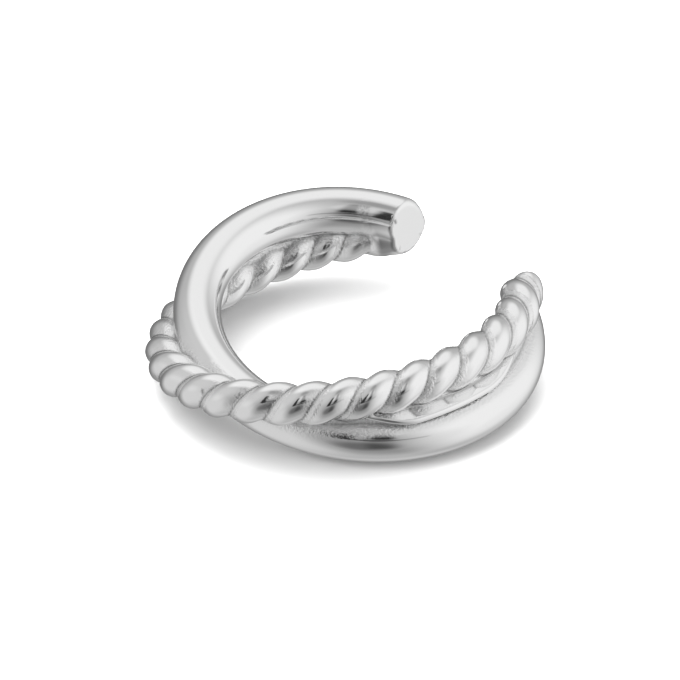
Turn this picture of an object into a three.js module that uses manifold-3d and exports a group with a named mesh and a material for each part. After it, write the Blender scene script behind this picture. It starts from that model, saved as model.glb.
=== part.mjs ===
// Open ear cuff of silver: a round smooth bar and a bar of two twisted strands, soldered side by
// side along an open ring. Millimetres, +Z up. The cuff lies on its side, origin at the middle of
// its base. Angles round the ring are counted from +X, counter-clockwise seen from above.

import * as THREE from 'three';
import { mergeVertices } from 'three/addons/utils/BufferGeometryUtils.js';
import Module from 'manifold-3d';

const { clamp, degToRad, lerp, smoothstep } = THREE.MathUtils;

// Ring
const ringRadius = 5.2;        // ring axis to the middle of the metal
const mouthAngle = 60;         // the open part of the ring
const mouthHeading = 40;       // direction of the mouth's middle

// Smooth bar
const smoothDiameter = 1.5;

// Rope bar
const ropeDiameter = 1.366;    // over the strands' crests
const strandCount = 2;
const strandPitch = 1.15;      // one crest to the next along the rope
const strandWidth = 1.08;      // a strand's size round the rope
const strandOverlap = 0.39;    // how far each strand reaches past the rope's middle
const twistStart = 89;         // direction of the first strand at the back end

// Solder between the bars
const webThickness = 0.5;
const plainLength = 1.7;       // over the second half of this length the bars run into one at the back
const plainRise = { none: -0.55, full: -0.15 }; // the strands stay below this height on the rope

// Smooth strip under the rope's outer side: outward and up from the rope's middle to the middle
// of its root and of its nose, and to where both lie where the strip is sunk in the rope
const stripThickness = 0.22;
const stripRoot = [0.1, -0.62];
const stripNose = [0.68, -0.84];
const stripSunk = [0, -0.35];
const stripSpan = { start: 0.64, full: 0.73, fade: 0.82, end: 0.95 };

// Ends
const backRounding = 0.08;
const frontRounding = 0.35;
const backCutSkew = 22.5;      // the cut faces turn this far towards the ring's middle
const frontCutSkew = 8;
const cutAllowance = 0.6;      // length added to each bar before it is cut

// Mesh
const smoothSides = 16;
const strandSides = 7;
const stepsPerTurn = 10;       // sections in one whole turn of the twist
const noseSides = 4;
const endStep = 0.07;          // between sections near the cut ends

// Route of the two bars: a row every tenth of the way from the back end to the front end, and one
// more past each end. Out is the distance of a bar's middle outside the ring radius and rise is
// its height above where it would lie on the base, both as shares of the reach from one bar's
// middle to the other's where they touch. Twist is a correction in turns.
const barReach = (smoothDiameter + ropeDiameter) / 2;
const routeRows = [
  { smoothOut: -0.04, smoothRise: 0.63, ropeOut: 0.27, ropeRise: 1.28, twist: -0.08 },
  { smoothOut: 0.07, smoothRise: 1.08, ropeOut: 0.09, ropeRise: 0.8, twist: -0.03 },
  { smoothOut: 0.1, smoothRise: 1.29, ropeOut: 0.04, ropeRise: 0.39, twist: 0.01 },
  { smoothOut: 0.02, smoothRise: 1.23, ropeOut: 0.13, ropeRise: 0.05, twist: 0.05 },
  { smoothOut: -0.16, smoothRise: 0.94, ropeOut: 0.29, ropeRise: -0.04, twist: 0.04 },
  { smoothOut: -0.33, smoothRise: 0.59, ropeOut: 0.46, ropeRise: 0.15, twist: -0.02 },
  { smoothOut: -0.36, smoothRise: 0.27, ropeOut: 0.5, ropeRise: 0.61, twist: -0.04 },
  { smoothOut: -0.19, smoothRise: 0.08, ropeOut: 0.33, ropeRise: 0.99, twist: -0.01 },
  { smoothOut: 0.09, smoothRise: -0.01, ropeOut: 0.05, ropeRise: 1.21, twist: 0.03 },
  { smoothOut: 0.23, smoothRise: -0.01, ropeOut: -0.13, ropeRise: 1.31, twist: 0.06 },
  { smoothOut: 0.16, smoothRise: 0.14, ropeOut: -0.09, ropeRise: 1.31, twist: 0 },
  { smoothOut: -0.04, smoothRise: 0.46, ropeOut: 0.09, ropeRise: 1.2, twist: -0.07 },
  { smoothOut: -0.3, smoothRise: 0.96, ropeOut: 0.39, ropeRise: 1.02, twist: -0.14 },
];
const routeIntervals = routeRows.length - 3;

const backAngle = mouthHeading + mouthAngle / 2;
const frontAngle = mouthHeading - mouthAngle / 2 + 360;
const arcAngle = frontAngle - backAngle;

// A column of the table as a smooth curve (a uniform cubic B-spline) at a share of the way round.
function routeValue(column, share) {
  const place = share * routeIntervals;
  const row = clamp(Math.floor(place), 0, routeIntervals - 1);
  const f = place - row;
  const weights = [(1 - f) ** 3, 3 * f ** 3 - 6 * f ** 2 + 4, -3 * f ** 3 + 3 * f ** 2 + 3 * f + 1, f ** 3];
  return weights.reduce((sum, weight, k) => sum + (weight * routeRows[row + k][column]) / 6, 0);
}

// Middle line of a bar, from cutAllowance before the back end to cutAllowance past the front end.
class BarLine extends THREE.Curve {
  constructor(bar, diameter) {
    super();
    this.bar = bar;
    this.diameter = diameter;
    this.margin = cutAllowance / (degToRad(arcAngle) * ringRadius);
  }

  // Share of the way from the back end to the front end, below 0 and above 1 in the allowances.
  share(t) {
    return lerp(-this.margin, 1 + this.margin, t);
  }

  out(share) {
    return ringRadius + barReach * routeValue(`${this.bar}Out`, share);
  }

  height(share) {
    return this.diameter / 2 + barReach * routeValue(`${this.bar}Rise`, share);
  }

  getPoint(t, target = new THREE.Vector3()) {
    const share = this.share(t);
    const angle = degToRad(lerp(backAngle, frontAngle, share));
    const out = this.out(share);
    return target.set(out * Math.cos(angle), out * Math.sin(angle), this.height(share));
  }
}

const smoothLine = new BarLine('smooth', smoothDiameter);
const ropeLine = new BarLine('rope', ropeDiameter);

// Cut plane at an end of the ring: its middle, between the two bars, and its normal off the metal.
function endPlane(t, heading, rounding) {
  const middle = smoothLine.getPoint(t).lerp(ropeLine.getPoint(t), 0.5);
  const normal = new THREE.Vector3(Math.cos(degToRad(heading)), Math.sin(degToRad(heading)), 0);
  return { middle, normal, heading, rounding };
}

const endShare = smoothLine.margin / (1 + 2 * smoothLine.margin);
const backEnd = endPlane(endShare, backAngle - 90 - backCutSkew, backRounding);
const frontEnd = endPlane(1 - endShare, frontAngle + 90 + frontCutSkew, frontRounding);

// How far the surface at a point is drawn in by the rounding of an end.
function endInset(end, point) {
  const depth = clamp(end.middle.clone().sub(point).dot(end.normal), 0, end.rounding);
  return end.rounding - Math.sqrt(end.rounding ** 2 - (end.rounding - depth) ** 2);
}

// Sections along a bar, closer together near the cut ends, each square to the bar: outward lies
// level, and up completes the frame.
function stationsOf(line, spacing) {
  const length = line.getLength();
  const endZone = (2 * cutAllowance) / length;
  const fineStep = endStep / length;
  const places = [];
  for (let t = 0; t < endZone; t += fineStep) {
    places.push(t);
  }
  const middleSteps = Math.round(((1 - 2 * endZone) * length) / spacing);
  for (let k = 0; k <= middleSteps; k += 1) {
    places.push(lerp(endZone, 1 - endZone, k / middleSteps));
  }
  const lastPlaces = places.slice(0, places.indexOf(endZone)).map((t) => 1 - t);
  places.push(...lastPlaces.reverse());

  let arc = -cutAllowance;
  let previous = null;
  return places.map((t) => {
    const middle = line.getPoint(t);
    const along = line.getTangent(t);
    const outward = new THREE.Vector3().crossVectors(along, new THREE.Vector3(0, 0, 1)).normalize();
    const up = new THREE.Vector3().crossVectors(outward, along);
    arc += previous ? middle.distanceTo(previous) : 0;
    previous = middle;
    const ends = { back: t < endZone ? backEnd : null, front: t > 1 - endZone ? frontEnd : null };
    return { middle, outward, up, arc, share: line.share(t), end: ends.back ?? ends.front };
  });
}

// How far the strands and the gap between the bars have run out into one plain bar at the back.
function plainShare(arc) {
  return 1 - smoothstep(arc, plainLength / 2, plainLength);
}

// Closed solid through one section at each station. A section is a list of points, each an
// outward and an up distance from the station's middle, in order from outward to up.
function sweep(stations, section) {
  const rings = stations.map((station) => section(station).map(([out, up]) => {
    const reach = new THREE.Vector3();
    reach.addScaledVector(station.outward, out).addScaledVector(station.up, up);
    const inset = station.end ? endInset(station.end, reach.clone().add(station.middle)) : 0;
    return reach.setLength(Math.max(reach.length() - inset, backRounding / 2)).add(station.middle);
  }));
  const sides = rings[0].length;
  const points = [...rings.flat(), stations[0].middle, stations.at(-1).middle];
  const firstCap = points.length - 2;
  const lastCap = points.length - 1;
  const lastRing = (rings.length - 1) * sides;
  const index = [];
  for (let side = 0; side < sides; side += 1) {
    const next = (side + 1) % sides;
    for (let ring = 0; ring < lastRing; ring += sides) {
      const [a, b, c, d] = [ring + side, ring + sides + side, ring + sides + next, ring + next];
      const shorter = points[a].distanceTo(points[c]) < points[b].distanceTo(points[d]);
      index.push(...(shorter ? [a, b, c, a, c, d] : [a, b, d, b, c, d]));
    }
    index.push(firstCap, side, next);
    index.push(lastCap, lastRing + next, lastRing + side);
  }
  const geometry = new THREE.BufferGeometry().setFromPoints(points);
  geometry.setIndex(index);
  return geometry;
}

function smoothBar() {
  const section = Array.from({ length: smoothSides }, (_, k) => {
    const angle = (2 * Math.PI * k) / smoothSides;
    return [(smoothDiameter / 2) * Math.cos(angle), (smoothDiameter / 2) * Math.sin(angle)];
  });
  const spacing = ropeLine.getLength() / 60;
  return sweep(stationsOf(smoothLine, spacing), () => section);
}

// Section of the rope before it turns: one ellipse for each of the two strands, up to the groove
// where it meets the other's.
function ropeSection() {
  const halfDepth = (ropeDiameter / 2 + strandOverlap) / 2;
  const halfWidth = strandWidth / 2;
  const offset = ropeDiameter / 2 - halfDepth;
  const grooveAngle = Math.acos(-offset / halfDepth);
  const points = [];
  for (let strand = 0; strand < strandCount; strand += 1) {
    for (let side = 0; side < strandSides; side += 1) {
      const angle = lerp(-grooveAngle, grooveAngle, side / strandSides);
      const x = offset + halfDepth * Math.cos(angle);
      const y = halfWidth * Math.sin(angle);
      points.push({ radius: Math.hypot(x, y), angle: Math.atan2(y, x) + (2 * Math.PI * strand) / strandCount });
    }
  }
  return points;
}

// Two strands laid left-handed round each other.
function ropeBar() {
  const lead = strandPitch * strandCount;
  const section = ropeSection();
  return sweep(stationsOf(ropeLine, lead / stepsPerTurn), ({ arc, share }) => {
    const turns = twistStart / 360 + arc / lead + routeValue('twist', share);
    return section.map(({ radius, angle }) => {
      const turned = angle + 2 * Math.PI * turns;
      const worn = plainShare(arc) * smoothstep(radius * Math.sin(turned), plainRise.none, plainRise.full);
      const grown = lerp(radius, ropeDiameter / 2, worn);
      return [grown * Math.cos(turned), grown * Math.sin(turned)];
    });
  });
}

// Wall between the middles of the two bars, which closes the narrow gap between them and grows to
// the bars' own thickness where they run into one.
function solderWeb() {
  const middleLine = new THREE.Curve();
  middleLine.getPoint = (t, target = new THREE.Vector3()) => (
    target.lerpVectors(smoothLine.getPoint(t), ropeLine.getPoint(t), 0.5));
  middleLine.share = (t) => smoothLine.share(t);
  return sweep(stationsOf(middleLine, strandPitch / 2), ({ arc, share }) => {
    const half = new THREE.Vector2(
      (ropeLine.out(share) - smoothLine.out(share)) / 2,
      (ropeLine.height(share) - smoothLine.height(share)) / 2,
    );
    const thickness = lerp(webThickness, ropeDiameter, plainShare(arc));
    const side = new THREE.Vector2(-half.y, half.x).setLength(thickness / 2);
    return [[1, -1], [1, 1], [-1, 1], [-1, -1]].map(([towardRope, across]) => [
      half.x * towardRope + side.x * across,
      half.y * towardRope + side.y * across,
    ]);
  });
}

// Rib with a round nose, which comes out under the rope and sinks back into it.
function ropeStrip() {
  const { start, full, fade, end } = stripSpan;
  const [root, nose, sunk] = [stripRoot, stripNose, stripSunk].map((place) => new THREE.Vector2(...place));
  const across = nose.clone().sub(root).rotateAround(new THREE.Vector2(), Math.PI / 2).setLength(stripThickness / 2);
  const stations = stationsOf(ropeLine, strandPitch / 2).filter(({ share }) => share > start && share < end);
  return sweep(stations, ({ share }) => {
    const rise = smoothstep(share, start, full) * (1 - smoothstep(share, fade, end));
    const from = sunk.clone().lerp(root, rise);
    const to = sunk.clone().lerp(nose, rise);
    const outline = [from.clone().sub(across)];
    for (let side = 0; side <= noseSides; side += 1) {
      const turn = Math.PI * (side / noseSides - 1);
      outline.push(across.clone().rotateAround(new THREE.Vector2(), turn).add(to));
    }
    outline.push(from.clone().add(across));
    return outline.map(({ x, y }) => [x, y]);
  });
}

// Block that takes away everything past an end plane.
function endCutter(end) {
  const length = 3 * cutAllowance;
  const width = 3 * barReach;
  const block = new THREE.BoxGeometry(length, width, width);
  block.translate(length / 2, 0, 0);
  block.rotateZ(degToRad(end.heading));
  block.translate(end.middle.x, end.middle.y, end.middle.z);
  return block;
}

const wasm = await Module();
wasm.setup();

function solidFrom(geometry) {
  const bare = geometry.clone();
  bare.deleteAttribute('normal');
  bare.deleteAttribute('uv');
  const merged = mergeVertices(bare);
  return new wasm.Manifold(new wasm.Mesh({
    numProp: 3,
    vertProperties: new Float32Array(merged.getAttribute('position').array),
    triVerts: new Uint32Array(merged.getIndex().array),
  }));
}

function geometryFrom(solid) {
  const mesh = solid.getMesh();
  const geometry = new THREE.BufferGeometry();
  geometry.setAttribute('position', new THREE.BufferAttribute(mesh.vertProperties, 3));
  geometry.setIndex(new THREE.BufferAttribute(mesh.triVerts, 1));
  geometry.computeVertexNormals();
  return geometry;
}

function earCuff() {
  let solid = solidFrom(smoothBar());
  for (const piece of [ropeBar(), ropeStrip(), solderWeb()]) {
    solid = solid.add(solidFrom(piece));
  }
  for (const end of [backEnd, frontEnd]) {
    solid = solid.subtract(solidFrom(endCutter(end)));
  }
  const geometry = geometryFrom(solid);
  geometry.computeBoundingBox();
  const { min, max } = geometry.boundingBox;
  geometry.translate(-(min.x + max.x) / 2, -(min.y + max.y) / 2, -min.z);
  return geometry;
}

const silver = new THREE.MeshStandardMaterial({ color: 0xd9d9d6, roughness: 0.22, metalness: 1 });

const cuff = new THREE.Mesh(earCuff(), silver);
cuff.name = 'ear_cuff';

const group = new THREE.Group();
group.add(cuff);

export default group;
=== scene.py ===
"""Looks of an open silver ear cuff: a smooth bar and a bar of two twisted strands, soldered into one.

The cuff's surface is worked out in millimetres about the ring's axis, from the sizes of the solid
model, and becomes one closed mesh in metres in the frame.
"""

import math

import bpy
import numpy as np
import openvdb
from mathutils import Matrix, Vector


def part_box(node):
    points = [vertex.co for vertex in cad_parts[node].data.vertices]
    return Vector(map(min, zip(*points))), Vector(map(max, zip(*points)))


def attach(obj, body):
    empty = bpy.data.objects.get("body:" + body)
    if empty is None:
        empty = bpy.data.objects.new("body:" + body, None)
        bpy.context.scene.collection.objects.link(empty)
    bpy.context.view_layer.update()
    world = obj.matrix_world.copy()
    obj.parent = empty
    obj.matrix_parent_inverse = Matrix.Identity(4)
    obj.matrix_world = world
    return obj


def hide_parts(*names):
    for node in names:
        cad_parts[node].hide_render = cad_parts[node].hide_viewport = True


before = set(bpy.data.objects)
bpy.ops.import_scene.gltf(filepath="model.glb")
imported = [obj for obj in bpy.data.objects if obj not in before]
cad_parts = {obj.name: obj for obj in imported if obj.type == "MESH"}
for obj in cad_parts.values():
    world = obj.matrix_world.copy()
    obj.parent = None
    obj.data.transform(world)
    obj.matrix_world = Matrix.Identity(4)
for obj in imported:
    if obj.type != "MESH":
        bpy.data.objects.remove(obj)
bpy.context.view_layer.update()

MM = 0.001

# Ring: angles in degrees from +X, counter-clockwise seen from above
RING_RADIUS = 5.2
MOUTH_ANGLE = 60
MOUTH_HEADING = 40
BACK_ANGLE = MOUTH_HEADING + MOUTH_ANGLE / 2
ARC_ANGLE = 360 - MOUTH_ANGLE

# Bars
SMOOTH_DIAMETER = 1.5
ROPE_DIAMETER = 1.366
BAR_REACH = (SMOOTH_DIAMETER + ROPE_DIAMETER) / 2

# Strands of the rope: ellipses that reach a little past the rope's middle, a pitch apart along it.
# TWIST_START is a crest's angle at the back end, from outward towards up, before the correction.
STRAND_COUNT = 2
STRAND_SPACING = 2 * math.pi / STRAND_COUNT
STRAND_PITCH = 1.15
STRAND_WIDTH = 1.08
STRAND_OVERLAP = 0.39
TWIST_START = 89

# Solder between the bars, and the length at the back over which the bars run into one. There the
# strands wear away between these two heights from the rope's middle, and wholly above them.
WEB_THICKNESS = 0.5
PLAIN_LENGTH = 1.7
WORN_RISE = (-0.55, -0.15)

# Strip under the rope's outer side: its root and tip outward and up from the rope's middle, the
# place that both sink to at its ends, and the shares of the way round over which they rise and
# sink. STRIP_LEAST keeps the tip apart from the root.
STRIP_THICKNESS = 0.22
STRIP_ROOT = (0.1, -0.62)
STRIP_TIP = (0.68, -0.84)
STRIP_SUNK = (0, -0.35)
STRIP_LEAST = 0.001
STRIP_RISING = (0.64, 0.73)
STRIP_SINKING = (0.82, 0.95)

# Ends: skews of the cuts in degrees, and roundings of their edges. The back end's edge has its
# larger rounding high on its outer side, reached over these ranges from the cut's middle.
BACK_CUT_SKEW = 22.5
FRONT_CUT_SKEW = 8
FRONT_ROUNDING = 0.35
BACK_ROUNDING = 0.08
BACK_TOP_ROUNDING = 0.3
BACK_TOP_RISE = (-0.1, 0.6)
BACK_TOP_ACROSS = (-0.5, 0.4)

# Angle from the mouth's middle within which an end's plane cuts the metal
END_REACH = 108

# Fillets where the surfaces meet
BAR_FILLET = 0.07
STRIP_FILLET = 0.03
GROOVE_FILLET = 0.03

# Route of the two bars, as shares of BAR_REACH: one value every tenth of the way round from the
# back end to the front end, and one more past each end. The twist is a correction in turns.
ROUTE = {
    "smooth_out": [-0.04, 0.07, 0.1, 0.02, -0.16, -0.33, -0.36, -0.19, 0.09, 0.23, 0.16, -0.04, -0.3],
    "smooth_rise": [0.63, 1.08, 1.29, 1.23, 0.94, 0.59, 0.27, 0.08, -0.01, -0.01, 0.14, 0.46, 0.96],
    "rope_out": [0.27, 0.09, 0.04, 0.13, 0.29, 0.46, 0.5, 0.33, 0.05, -0.13, -0.09, 0.09, 0.39],
    "rope_rise": [1.28, 0.8, 0.39, 0.05, -0.04, 0.15, 0.61, 0.99, 1.21, 1.31, 1.31, 1.2, 1.02],
    "twist": [-0.08, -0.03, 0.01, 0.05, 0.04, -0.02, -0.04, -0.01, 0.03, 0.06, 0, -0.07, -0.14],
}

# Cast skin: angles from a strand's crest where it starts and is full, on one flank of each groove,
# distances from the joint of the bars where it is full and ends, and its distances off the strip
GROOVE_SKIN = (0.26 * math.pi, 0.36 * math.pi)
SEAM_SKIN = (0.05, 0.45)
OFF_STRIP = (0.02, 0.06)

# Painted shade in the creases: angles from a strand's crest, and distances from the place where two
# parts meet
STRAND_CREASE_SHADE = (0.44 * math.pi, 0.5 * math.pi)
PART_CREASE_SHADE = (0, 0.07)

# Distances within which a place still counts as on the rope's surface, and on the cuff's
ON_ROPE = (0.03, 0.08)
ON_CUFF = (0.04, 0.08)

# A scratch on a strand and a pit by the back end face, soft at the edges: from, to, half-width
MARKS = [
    ((-4.65, -4.33, 2.05), (-4.59, -4.36, 1.78), 0.04),
    ((1.36, 4.5, 2.6), (1.42, 4.52, 2.5), 0.05),
]
MARK_SOFTNESS = 0.5

# Mesh: cell of the grid and value off the grid, steps along the bars' middle lines, and rounds of
# the searches for the nearest place on a line and for the surface
CELL = 0.06
GRID_MARGIN = 4 * CELL
SLOPE_STEP = CELL / 12
OUTSIDE = 1.0
TABLE_SHARES = np.linspace(-0.07, 1.07, 2400)
NEAREST_ROUNDS = 3
SETTLE_ROUNDS = 4

# Camera: distance in metres, angles in degrees, and in millimetres its shift from the ring's axis
# and its sensor
CAMERA_DISTANCE = 0.3
CAMERA_ELEVATION = 32.32
CAMERA_ROLL = 0.3
CAMERA_RIGHT = -0.385
CAMERA_UP = 0.86
CLIP_RATIO = 100
FRAME_PIXELS = 680
PIXELS_PER_MM = 32
SENSOR_WIDTH = 36

# Silver: noise scales are per metre, and the depth of the cast bumps is in metres
SILVER_COLOUR = (0.89, 0.89, 0.89, 1)
# Painted shade in the creases between strands and between parts, and the colour of the scratch and the
# pit
CREASE_SHADE_AND_MARK_COLOUR = (0.35, 0.35, 0.35, 1)
POLISH_ROUGHNESS = (0.05, 0.1)
SKIN_ROUGHNESS = 0.3
NOISE_RANGE = (0.3, 0.7)
DRIFT_SCALE = 900
DRIFT_DETAIL = 3
CAST_SCALE = 12000
CAST_DETAIL = 4
CAST_DEPTH = 0.000035

# Floor, in metres
FLOOR_REACH = 2.0
FLOOR_COLOUR = (0.6, 0.6, 0.6, 1)

# Studio that the silver mirrors. Angles are in degrees.
STUDIO_COLOUR = (1, 1, 1, 1)
STUDIO_LEVEL = 0.5
STUDIO_LEAST = 0.03

# Soft patches of light and shade all round the cuff: turn from behind it towards the right, rise,
# half-width, soft edge, brightness
STUDIO_PATCHES = [
    (100, 5, 75, 45, 0.45),
    (0, 58, 40, 26, 0.42),
    (-100, -25, 60, 40, 0.2),
    (-90, 40, 50, 40, 0.15),
    (10, -60, 40, 30, 0.12),
    (-12, -30, 54, 42, -0.3),
    (90, -40, 40, 30, -0.07),
    (170, -10, 60, 40, -0.2),
    (180, 46, 20, 14, 0.2),
    (180, 76, 14, 10, -0.15),
    (-177, -12, 26, 20, -0.15),
]

# Soft dark cards at the camera's side: turn from there towards the left, rise, half-width,
# half-height, soft edge, darkness
STUDIO_CARDS = [
    (18, 34, 1, 14, 9, 0.68),
    (-8, 17, 26, 0, 4, 0.25),
    (-6, 5, 4, 22, 10, 0.07),
    (-8, 42, 3, 16, 8, 0.34),
]

# Soft lights for the floor: turn from behind the cuff towards the right, rise, spread, strength
SUNS = [
    (-15, 76, 44, 1.3),
    (0, 90, 179, 2.7),
    (-90, 50, 70, 2.5),
    (0, 50, 70, 3),
]


def route_value(column, share):
    """A column of ROUTE as a uniform cubic B-spline, at shares of the way round."""
    rows = np.array(ROUTE[column], float)
    place = np.asarray(share) * (len(rows) - 3)
    row = np.clip(np.floor(place), 0, len(rows) - 4).astype(int)
    f = place - row
    weights = ((1 - f) ** 3, 3 * f**3 - 6 * f**2 + 4, -3 * f**3 + 3 * f**2 + 3 * f + 1, f**3)
    return sum(w * rows[row + k] for k, w in enumerate(weights)) / 6


def smoothstep(value, low, high):
    """Zero up to the low value, rising softly to one at the high value."""
    t = np.clip((value - low) / (high - low), 0, 1)
    return t * t * (3 - 2 * t)


def fading(value, low, high):
    """One up to the low value, falling softly to zero at the high value."""
    return 1 - smoothstep(value, low, high)


def lerp(a, b, t):
    return a + (b - a) * t


def smooth_min(a, b, fillet):
    """The lower of two surface values, with a fillet where they meet."""
    mix = np.clip(fillet - abs(a - b), 0, None)
    return np.minimum(a, b) - mix * mix / (4 * fillet)


def smooth_max(a, b, fillet):
    return -smooth_min(-a, -b, fillet)


def angle_from_mouth(points):
    """Angle round the ring from the mouth's middle to each point, from 0 to 360 degrees."""
    return (np.degrees(np.arctan2(points[:, 1], points[:, 0])) - MOUTH_HEADING) % 360


class Bar:
    """Middle line of a bar in fine steps, with the frame of its cross-section at each."""

    def __init__(self, name, diameter):
        share = TABLE_SHARES
        angle = np.radians(BACK_ANGLE + ARC_ANGLE * share)
        out = RING_RADIUS + BAR_REACH * route_value(name + "_out", share)
        height = diameter / 2 + BAR_REACH * route_value(name + "_rise", share)
        self.middle = np.stack([out * np.cos(angle), out * np.sin(angle), height], 1)
        self.slope = np.gradient(self.middle, share, axis=0)
        speed = np.linalg.norm(self.slope, axis=1)
        along = self.slope / speed[:, None]
        outward = np.cross(along, (0, 0, 1))
        self.outward = outward / np.linalg.norm(outward, axis=1)[:, None]
        self.up = np.cross(self.outward, along)
        steps = np.diff(share) * (speed[1:] + speed[:-1]) / 2
        arc = np.concatenate([[0], np.cumsum(steps)])
        self.arc = arc - np.interp(0, share, arc)

    def at(self, table, share):
        """A table's value at each share, between its rows."""
        place = (share - TABLE_SHARES[0]) / (TABLE_SHARES[1] - TABLE_SHARES[0])
        place = np.clip(place, 0, len(TABLE_SHARES) - 1)
        row = np.minimum(place.astype(int), len(TABLE_SHARES) - 2)
        f = place - row
        if table.ndim == 2:
            f = f[:, None]
        return table[row] * (1 - f) + table[row + 1] * f

    def nearest(self, points):
        """Share of the nearest place on the line to each point, and the point's outward and up."""
        share = (angle_from_mouth(points) - MOUTH_ANGLE / 2) / ARC_ANGLE
        for _ in range(NEAREST_ROUNDS):
            slope = self.at(self.slope, share)
            gap = points - self.at(self.middle, share)
            share = share + (gap * slope).sum(1) / (slope * slope).sum(1)
            share = np.clip(share, TABLE_SHARES[0], TABLE_SHARES[-1])
        gap = points - self.at(self.middle, share)
        out = (gap * self.at(self.outward, share)).sum(1)
        up = (gap * self.at(self.up, share)).sum(1)
        return share, out, up


smooth_bar = Bar("smooth", SMOOTH_DIAMETER)
rope_bar = Bar("rope", ROPE_DIAMETER)


class EndPlane:
    """Cut plane at an end of the ring: its middle and its normal, level and off the metal."""

    def __init__(self, share, heading):
        ends = [bar.at(bar.middle, np.array([share]))[0] for bar in (smooth_bar, rope_bar)]
        self.middle = sum(ends) / 2
        self.normal = np.array([math.cos(math.radians(heading)), math.sin(math.radians(heading)), 0])

    def beyond(self, points):
        return (points - self.middle) @ self.normal

    def across(self, points):
        """Level distance along the plane, away from the ring's middle at the back end."""
        return (points - self.middle) @ np.array([-self.normal[1], self.normal[0], 0])


back_end = EndPlane(0.0, BACK_ANGLE - 90 - BACK_CUT_SKEW)
front_end = EndPlane(1.0, BACK_ANGLE + ARC_ANGLE + 90 + FRONT_CUT_SKEW)


def plain_share(share):
    """How far the strands and the gap between the bars have run out into one bar at the back."""
    return fading(rope_bar.at(rope_bar.arc, share), PLAIN_LENGTH / 2, PLAIN_LENGTH)


def worn_share(share, up):
    """How far the strands have worn away into a round bar."""
    return plain_share(share) * smoothstep(up, *WORN_RISE)


def strand_phase(share, out, up):
    """Angle from the nearest strand's crest, up to half of STRAND_SPACING either way."""
    arc = rope_bar.at(rope_bar.arc, share)
    turns = TWIST_START / 360 + arc / (STRAND_PITCH * STRAND_COUNT) + route_value("twist", share)
    angle = np.arctan2(up, out) - 2 * math.pi * turns
    return (angle + STRAND_SPACING / 2) % STRAND_SPACING - STRAND_SPACING / 2


def strand_radius(phase):
    """Radius of the rope at an angle from a strand's crest: an ellipse about the strand's middle."""
    half_depth = (ROPE_DIAMETER / 2 + STRAND_OVERLAP) / 2
    half_width = STRAND_WIDTH / 2
    offset = ROPE_DIAMETER / 2 - half_depth
    a = np.cos(phase) ** 2 / half_depth**2 + np.sin(phase) ** 2 / half_width**2
    b = -2 * offset * np.cos(phase) / half_depth**2
    c = offset**2 / half_depth**2 - 1
    return (-b + np.sqrt(b * b - 4 * a * c)) / (2 * a)


def rope_radius(phase):
    """Radius of the rope: the nearest strand and its neighbour, with a fillet between them."""
    return smooth_max(strand_radius(phase), strand_radius(abs(phase) - STRAND_SPACING), GROOVE_FILLET)


def on_rope(phase, out, up):
    """One on the rope's own surface, falling to zero beside it."""
    return fading(abs(np.hypot(out, up) - rope_radius(phase)), *ON_ROPE)


def segment_distance(out, up, start, end):
    """Distance in a cross-section from points to segments, whose ends are outward and up too."""
    run_out, run_up = end[0] - start[0], end[1] - start[1]
    t = ((out - start[0]) * run_out + (up - start[1]) * run_up) / (run_out**2 + run_up**2)
    t = np.clip(t, 0, 1)
    return np.hypot(out - start[0] - t * run_out, up - start[1] - t * run_up)


def surface_parts(points):
    """Values at points in millimetres, zero on the surface of each part of the cuff, below zero
    inside: the smooth bar, the web, the rope and the strip.
    """
    _, smooth_out, smooth_up = smooth_bar.nearest(points)
    smooth = np.hypot(smooth_out, smooth_up) - SMOOTH_DIAMETER / 2

    share, out, up = rope_bar.nearest(points)
    radius = lerp(rope_radius(strand_phase(share, out, up)), ROPE_DIAMETER / 2, worn_share(share, up))
    rope = np.hypot(out, up) - radius

    apart = smooth_bar.at(smooth_bar.middle, share) - rope_bar.at(rope_bar.middle, share)
    apart_out = (apart * rope_bar.at(rope_bar.outward, share)).sum(1)
    apart_up = (apart * rope_bar.at(rope_bar.up, share)).sum(1)
    thickness = lerp(WEB_THICKNESS, ROPE_DIAMETER, plain_share(share))
    web = segment_distance(out, up, (0, 0), (apart_out, apart_up)) - thickness / 2

    rise = smoothstep(share, *STRIP_RISING) * fading(share, *STRIP_SINKING)
    root = [lerp(sunk, full, rise) for sunk, full in zip(STRIP_SUNK, STRIP_ROOT)]
    tip = [lerp(sunk, full, rise + STRIP_LEAST) for sunk, full in zip(STRIP_SUNK, STRIP_TIP)]
    strip = segment_distance(out, up, root, tip) - STRIP_THICKNESS / 2

    return smooth, web, rope, strip


def surface(points):
    """Value at points in millimetres that is zero on the cuff's surface and below zero inside."""
    smooth, web, rope, strip = surface_parts(points)
    value = smooth_min(smooth_min(smooth, web, BAR_FILLET), rope, BAR_FILLET)
    value = smooth_min(value, strip, STRIP_FILLET)

    angle = angle_from_mouth(points)
    high = smoothstep(points[:, 2] - back_end.middle[2], *BACK_TOP_RISE)
    outside = smoothstep(back_end.across(points), *BACK_TOP_ACROSS)
    back_rounding = lerp(BACK_ROUNDING, BACK_TOP_ROUNDING, high * outside)
    value = cut(value, back_end, back_rounding, points, angle < END_REACH)
    return cut(value, front_end, FRONT_ROUNDING, points, angle > 360 - END_REACH)


def cut(value, end, rounding, points, near):
    """Cuts off what lies beyond an end plane and near it, with a rounded edge."""
    beyond = end.beyond(points)
    corner = np.hypot(np.clip(value + rounding, 0, None), np.clip(beyond + rounding, 0, None))
    inner = np.minimum(np.maximum(value, beyond) + rounding, 0)
    return np.where(near, corner + inner - rounding, value)


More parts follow.
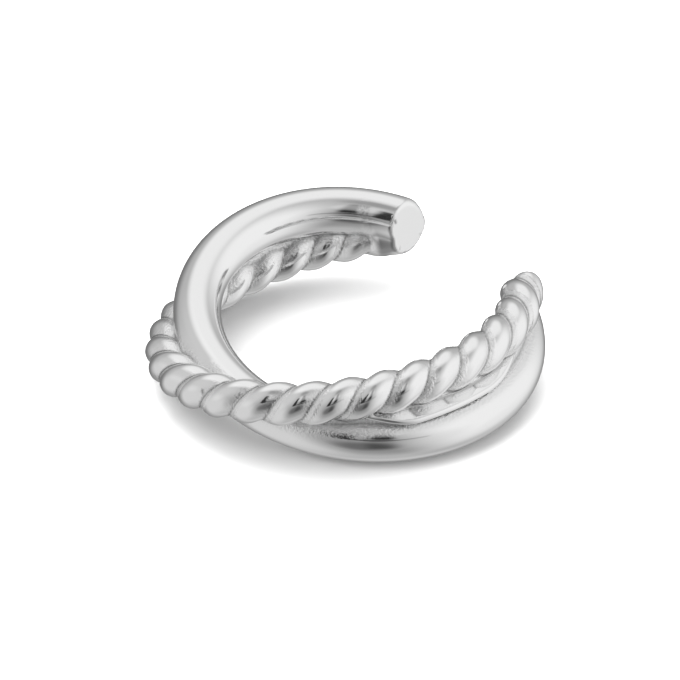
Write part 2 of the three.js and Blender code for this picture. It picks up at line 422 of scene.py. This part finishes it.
def groove_share(points):
    """How much of the cast skin of grooves and joint each point of the surface has, from 0 to 1."""
    share, out, up = rope_bar.nearest(points)
    phase = strand_phase(share, out, up)
    in_groove = smoothstep(phase, *GROOVE_SKIN) * on_rope(phase, out, up)

    *bars_and_web, strip = surface_parts(points)
    depth, joint_gap = np.sort(np.stack(bars_and_web), 0)[:2]
    by_joint = fading(joint_gap, *SEAM_SKIN) * fading(-depth, *ON_CUFF) * smoothstep(strip, *OFF_STRIP)

    return (np.maximum(in_groove, by_joint) * (1 - plain_share(share))).astype(np.float32)


def mark_share(points):
    """How near each point is to the middle of a scratch or pit, from 0 to 1."""
    nearness = np.zeros(len(points))
    for start, end, half_width in MARKS:
        run = np.subtract(end, start)
        t = np.clip((points - start) @ run / (run @ run), 0, 1)
        away = np.linalg.norm(points - start - t[:, None] * run, axis=1)
        edges = half_width * (1 - MARK_SOFTNESS), half_width * (1 + MARK_SOFTNESS)
        nearness = np.maximum(nearness, fading(away, *edges))
    return nearness


def crease_shade_and_mark_share(points):
    """How near each point of the surface is to a crease, where shade is painted, or to a mark, from 0
    to 1.
    """
    share, out, up = rope_bar.nearest(points)
    phase = strand_phase(share, out, up)
    shade_between_strands = smoothstep(abs(phase), *STRAND_CREASE_SHADE) * on_rope(phase, out, up)
    shade_between_strands *= 1 - worn_share(share, up)

    depth, part_gap = np.sort(np.stack(surface_parts(points)), 0)[:2]
    shade_between_parts = fading(part_gap, *PART_CREASE_SHADE) * fading(-depth, *ON_CUFF)

    crease_shade = np.maximum(shade_between_strands, shade_between_parts)
    return np.maximum(crease_shade, mark_share(points)).astype(np.float32)


def surface_slope(points):
    """Gradient of the surface value, by differences."""
    moves = SLOPE_STEP * np.eye(3)
    sides = [(surface(points + move) - surface(points - move)) / (2 * SLOPE_STEP) for move in moves]
    return np.stack(sides, 1)


def surface_grid():
    """Samples the surface value on a grid round the cuff, and returns it with its low corner."""
    reach = SMOOTH_DIAMETER / 2 + GRID_MARGIN
    lines = np.concatenate([smooth_bar.middle, rope_bar.middle])
    low, high = lines.min(0) - reach, lines.max(0) + reach
    axes = [np.arange(a, b + CELL, CELL) for a, b in zip(low, high)]
    values = np.empty([len(a) for a in axes], np.float32)
    for k, x in enumerate(axes[0]):
        layer = np.stack(np.meshgrid([x], axes[1], axes[2], indexing="ij"), -1).reshape(-1, 3)
        values[k] = surface(layer).reshape(len(axes[1]), len(axes[2]))
    return values, low


def cuff_surface():
    """Points set on the cuff's surface, its normals there, and the quads between the points."""
    values, low = surface_grid()
    grid = openvdb.FloatGrid(background=OUTSIDE)
    grid.copyFromArray(values)
    points, quads = grid.convertToQuads()
    points = points.astype(float) * CELL + low
    for _ in range(SETTLE_ROUNDS):
        slope = surface_slope(points)
        move = surface(points)[:, None] * slope / (slope * slope).sum(1)[:, None]
        points -= np.clip(move, -CELL / 2, CELL / 2)
    normals = surface_slope(points)
    normals /= np.linalg.norm(normals, axis=1)[:, None]
    return points, normals, quads


def axis_place(points):
    """Place of the ring's axis, in millimetres in the frame, for the cuff to lie where its solid
    does: over the same middle, and on the same base.
    """
    low, high = points.min(0), points.max(0)
    box_low, box_high = (np.array(corner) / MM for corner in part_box("ear_cuff"))
    place = (box_low + box_high) / 2 - (low + high) / 2
    place[2] = box_low[2] - low[2]
    return place


def build_cuff():
    """The cuff as one closed mesh, and the place of the ring's axis in metres in the frame."""
    points, normals, quads = cuff_surface()
    place = axis_place(points)
    mesh = bpy.data.meshes.new("ear_cuff_silver")
    mesh.from_pydata(((points + place) * MM).tolist(), [], quads.tolist())
    mesh.polygons.foreach_set("use_smooth", [True] * len(mesh.polygons))
    mesh.update()
    mesh.normals_split_custom_set_from_vertices(normals.tolist())
    # The second attribute holds painted shade in the creases, together with the marks
    for name, values in (("groove", groove_share(points)), ("crease_shade_and_marks", crease_shade_and_mark_share(points))):
        mesh.attributes.new(name, "FLOAT", "POINT").data.foreach_set("value", values)
    cuff = bpy.data.objects.new("ear_cuff_silver", mesh)
    bpy.context.scene.collection.objects.link(cuff)
    return cuff, Vector(place) * MM


def add_camera(ring_axis):
    """A camera at the photo's angle, far off and with a long lens."""
    elevation = math.radians(CAMERA_ELEVATION)
    right = Vector((1, 0, 0))
    up = Vector((0, math.sin(elevation), math.cos(elevation)))
    back = right.cross(up)
    data = bpy.data.cameras.new("camera")
    data.sensor_width = SENSOR_WIDTH
    data.lens = CAMERA_DISTANCE / MM * PIXELS_PER_MM * SENSOR_WIDTH / FRAME_PIXELS
    data.clip_start = CAMERA_DISTANCE / CLIP_RATIO
    data.clip_end = CAMERA_DISTANCE * CLIP_RATIO
    camera = bpy.data.objects.new("camera", data)
    place = ring_axis + right * CAMERA_RIGHT * MM + up * CAMERA_UP * MM + back * CAMERA_DISTANCE
    roll = math.radians(CAMERA_ROLL)
    side = right * math.cos(roll) - up * math.sin(roll)
    top = right * math.sin(roll) + up * math.cos(roll)
    turn = Matrix((side, top, back)).transposed()
    camera.matrix_world = Matrix.Translation(place) @ turn.to_4x4()
    bpy.context.scene.collection.objects.link(camera)
    bpy.context.scene.camera = camera


# Places of a colour Mix node's sockets, whose names are also those of its number sockets
MIX_FACTOR, MIX_FIRST, MIX_SECOND = 0, 6, 7
MIX_RESULT = 2


def set_inputs(tree, node, inputs):
    """Gives a node's inputs, by name or place, a value or a link from another node's output."""
    for name, value in inputs.items():
        if isinstance(value, bpy.types.NodeSocket):
            tree.links.new(value, node.inputs[name])
        else:
            node.inputs[name].default_value = value


def add_node(tree, kind, inputs, **settings):
    """A new node with its settings and inputs."""
    node = tree.nodes.new("ShaderNode" + kind)
    for name, value in settings.items():
        setattr(node, name, value)
    set_inputs(tree, node, inputs)
    return node


def add_maths(tree, operation, *values):
    """Result of a Math node on numbers or other nodes' outputs."""
    return add_node(tree, "Math", dict(enumerate(values)), operation=operation).outputs["Value"]


def add_range(tree, value, source, target, interpolation="LINEAR"):
    """Result of a Map Range node, which takes a value from the source range to the target range."""
    inputs = {"Value": value}
    inputs["From Min"], inputs["From Max"] = source
    inputs["To Min"], inputs["To Max"] = target
    return add_node(tree, "MapRange", inputs, interpolation_type=interpolation).outputs["Result"]


def silver_material():
    """Polished silver with painted shade in the creases and darker marks, with cast skin in the
    grooves and beside the joint.
    """
    material = bpy.data.materials.new("polished_silver")
    material.use_nodes = True
    tree = material.node_tree
    place = add_node(tree, "TexCoord", {}).outputs["Object"]
    groove = add_node(tree, "Attribute", {}, attribute_name="groove").outputs["Fac"]
    crease_shade_and_marks = add_node(tree, "Attribute", {}, attribute_name="crease_shade_and_marks").outputs["Fac"]

    # Painted shade: the silver's colour is darker in the creases between strands and between parts,
    # and at the marks
    colours = {MIX_FACTOR: crease_shade_and_marks, MIX_FIRST: SILVER_COLOUR, MIX_SECOND: CREASE_SHADE_AND_MARK_COLOUR}
    colour = add_node(tree, "Mix", colours, data_type="RGBA")

    # Roughness: a polish that drifts a little, and the rougher skin
    drift = add_node(tree, "TexNoise", {"Vector": place, "Scale": DRIFT_SCALE, "Detail": DRIFT_DETAIL})
    polish = add_range(tree, drift.outputs["Fac"], NOISE_RANGE, POLISH_ROUGHNESS)
    roughness = add_node(tree, "Mix", {"Factor": groove, "A": polish, "B": SKIN_ROUGHNESS})

    # Casting bumps of the skin
    cast = add_node(tree, "TexNoise", {"Vector": place, "Scale": CAST_SCALE, "Detail": CAST_DETAIL})
    height = add_maths(tree, "MULTIPLY", cast.outputs["Fac"], groove)
    bump = add_node(tree, "Bump", {"Strength": 1, "Distance": CAST_DEPTH, "Height": height})

    look = {
        "Metallic": 1,
        "Base Color": colour.outputs[MIX_RESULT],
        "Roughness": roughness.outputs["Result"],
        "Normal": bump.outputs["Normal"],
    }
    set_inputs(tree, tree.nodes["Principled BSDF"], look)
    return material


def add_floor():
    """A plain white floor that the cuff lies on. The silver mirrors the studio, not the floor."""
    mesh = bpy.data.meshes.new("floor")
    corners = [(-1, -1), (1, -1), (1, 1), (-1, 1)]
    vertices = [(x * FLOOR_REACH, y * FLOOR_REACH, 0) for x, y in corners]
    mesh.from_pydata(vertices, [], [(0, 1, 2, 3)])
    material = bpy.data.materials.new("white_floor")
    material.use_nodes = True
    look = {"Base Color": FLOOR_COLOUR, "Roughness": 1, "Specular IOR Level": 0}
    set_inputs(material.node_tree, material.node_tree.nodes["Principled BSDF"], look)
    mesh.materials.append(material)
    floor = bpy.data.objects.new("floor", mesh)
    bpy.context.scene.collection.objects.link(floor)
    floor.visible_glossy = False


def direction(turn, rise):
    """Direction of a place in the studio: turn from behind the cuff towards the right, and rise."""
    turn, rise = math.radians(turn), math.radians(rise)
    return Vector((math.cos(rise) * math.sin(turn), math.cos(rise) * math.cos(turn), math.sin(rise)))


def inside_band(tree, angle, middle, half_width, soft_edge):
    """One within a half-width of the middle angle, falling softly to zero outside it."""
    off = add_maths(tree, "SUBTRACT", angle, math.radians(middle))
    size = add_maths(tree, "ABSOLUTE", off)
    edge = (math.radians(half_width + soft_edge), math.radians(half_width))
    return add_range(tree, size, edge, (0, 1), "SMOOTHSTEP")


def add_world():
    """The studio that the silver mirrors: an even grey, soft patches and soft dark cards."""
    world = bpy.data.worlds.new("studio")
    world.use_nodes = True
    tree = world.node_tree
    view = add_node(tree, "TexCoord", {}).outputs["Generated"]

    total = STUDIO_LEVEL
    for turn, rise, half_width, soft_edge, brightness in STUDIO_PATCHES:
        towards = {0: view, 1: direction(turn, rise)}
        dot = add_node(tree, "VectorMath", towards, operation="DOT_PRODUCT").outputs["Value"]
        edge = (math.cos(math.radians(half_width)), math.cos(math.radians(half_width - soft_edge)))
        patch = add_range(tree, dot, edge, (0, brightness), "SMOOTHSTEP")
        total = add_maths(tree, "ADD", total, patch)

    parts = add_node(tree, "SeparateXYZ", {"Vector": view})
    left = add_maths(tree, "MULTIPLY", parts.outputs["X"], -1)
    front = add_maths(tree, "MULTIPLY", parts.outputs["Y"], -1)
    turn_angle = add_maths(tree, "ARCTAN2", left, front)
    rise_angle = add_maths(tree, "ARCSINE", parts.outputs["Z"])
    for turn, rise, half_width, half_height, soft_edge, darkness in STUDIO_CARDS:
        across = inside_band(tree, turn_angle, turn, half_width, soft_edge)
        upright = inside_band(tree, rise_angle, rise, half_height, soft_edge)
        card = add_maths(tree, "MULTIPLY", across, upright)
        total = add_maths(tree, "MULTIPLY_ADD", card, -darkness, total)

    strength = add_maths(tree, "MAXIMUM", total, STUDIO_LEAST)
    set_inputs(tree, tree.nodes["Background"], {"Color": STUDIO_COLOUR, "Strength": strength})
    bpy.context.scene.world = world


def add_suns():
    """Soft lights on the floor, which the silver doesn't mirror."""
    for turn, rise, spread, strength in SUNS:
        data = bpy.data.lights.new("soft_light", "SUN")
        data.energy = strength
        data.angle = math.radians(spread)
        sun = bpy.data.objects.new("soft_light", data)
        sun.rotation_euler = direction(turn, rise).to_track_quat("Z", "Y").to_euler()
        sun.visible_glossy = False
        bpy.context.scene.collection.objects.link(sun)


cuff, ring_axis = build_cuff()
add_camera(ring_axis)
cuff.data.materials.append(silver_material())
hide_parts("ear_cuff")
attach(cuff, "root")

add_floor()
add_world()
add_suns()
bpy.context.scene.view_settings.view_transform = "Standard"
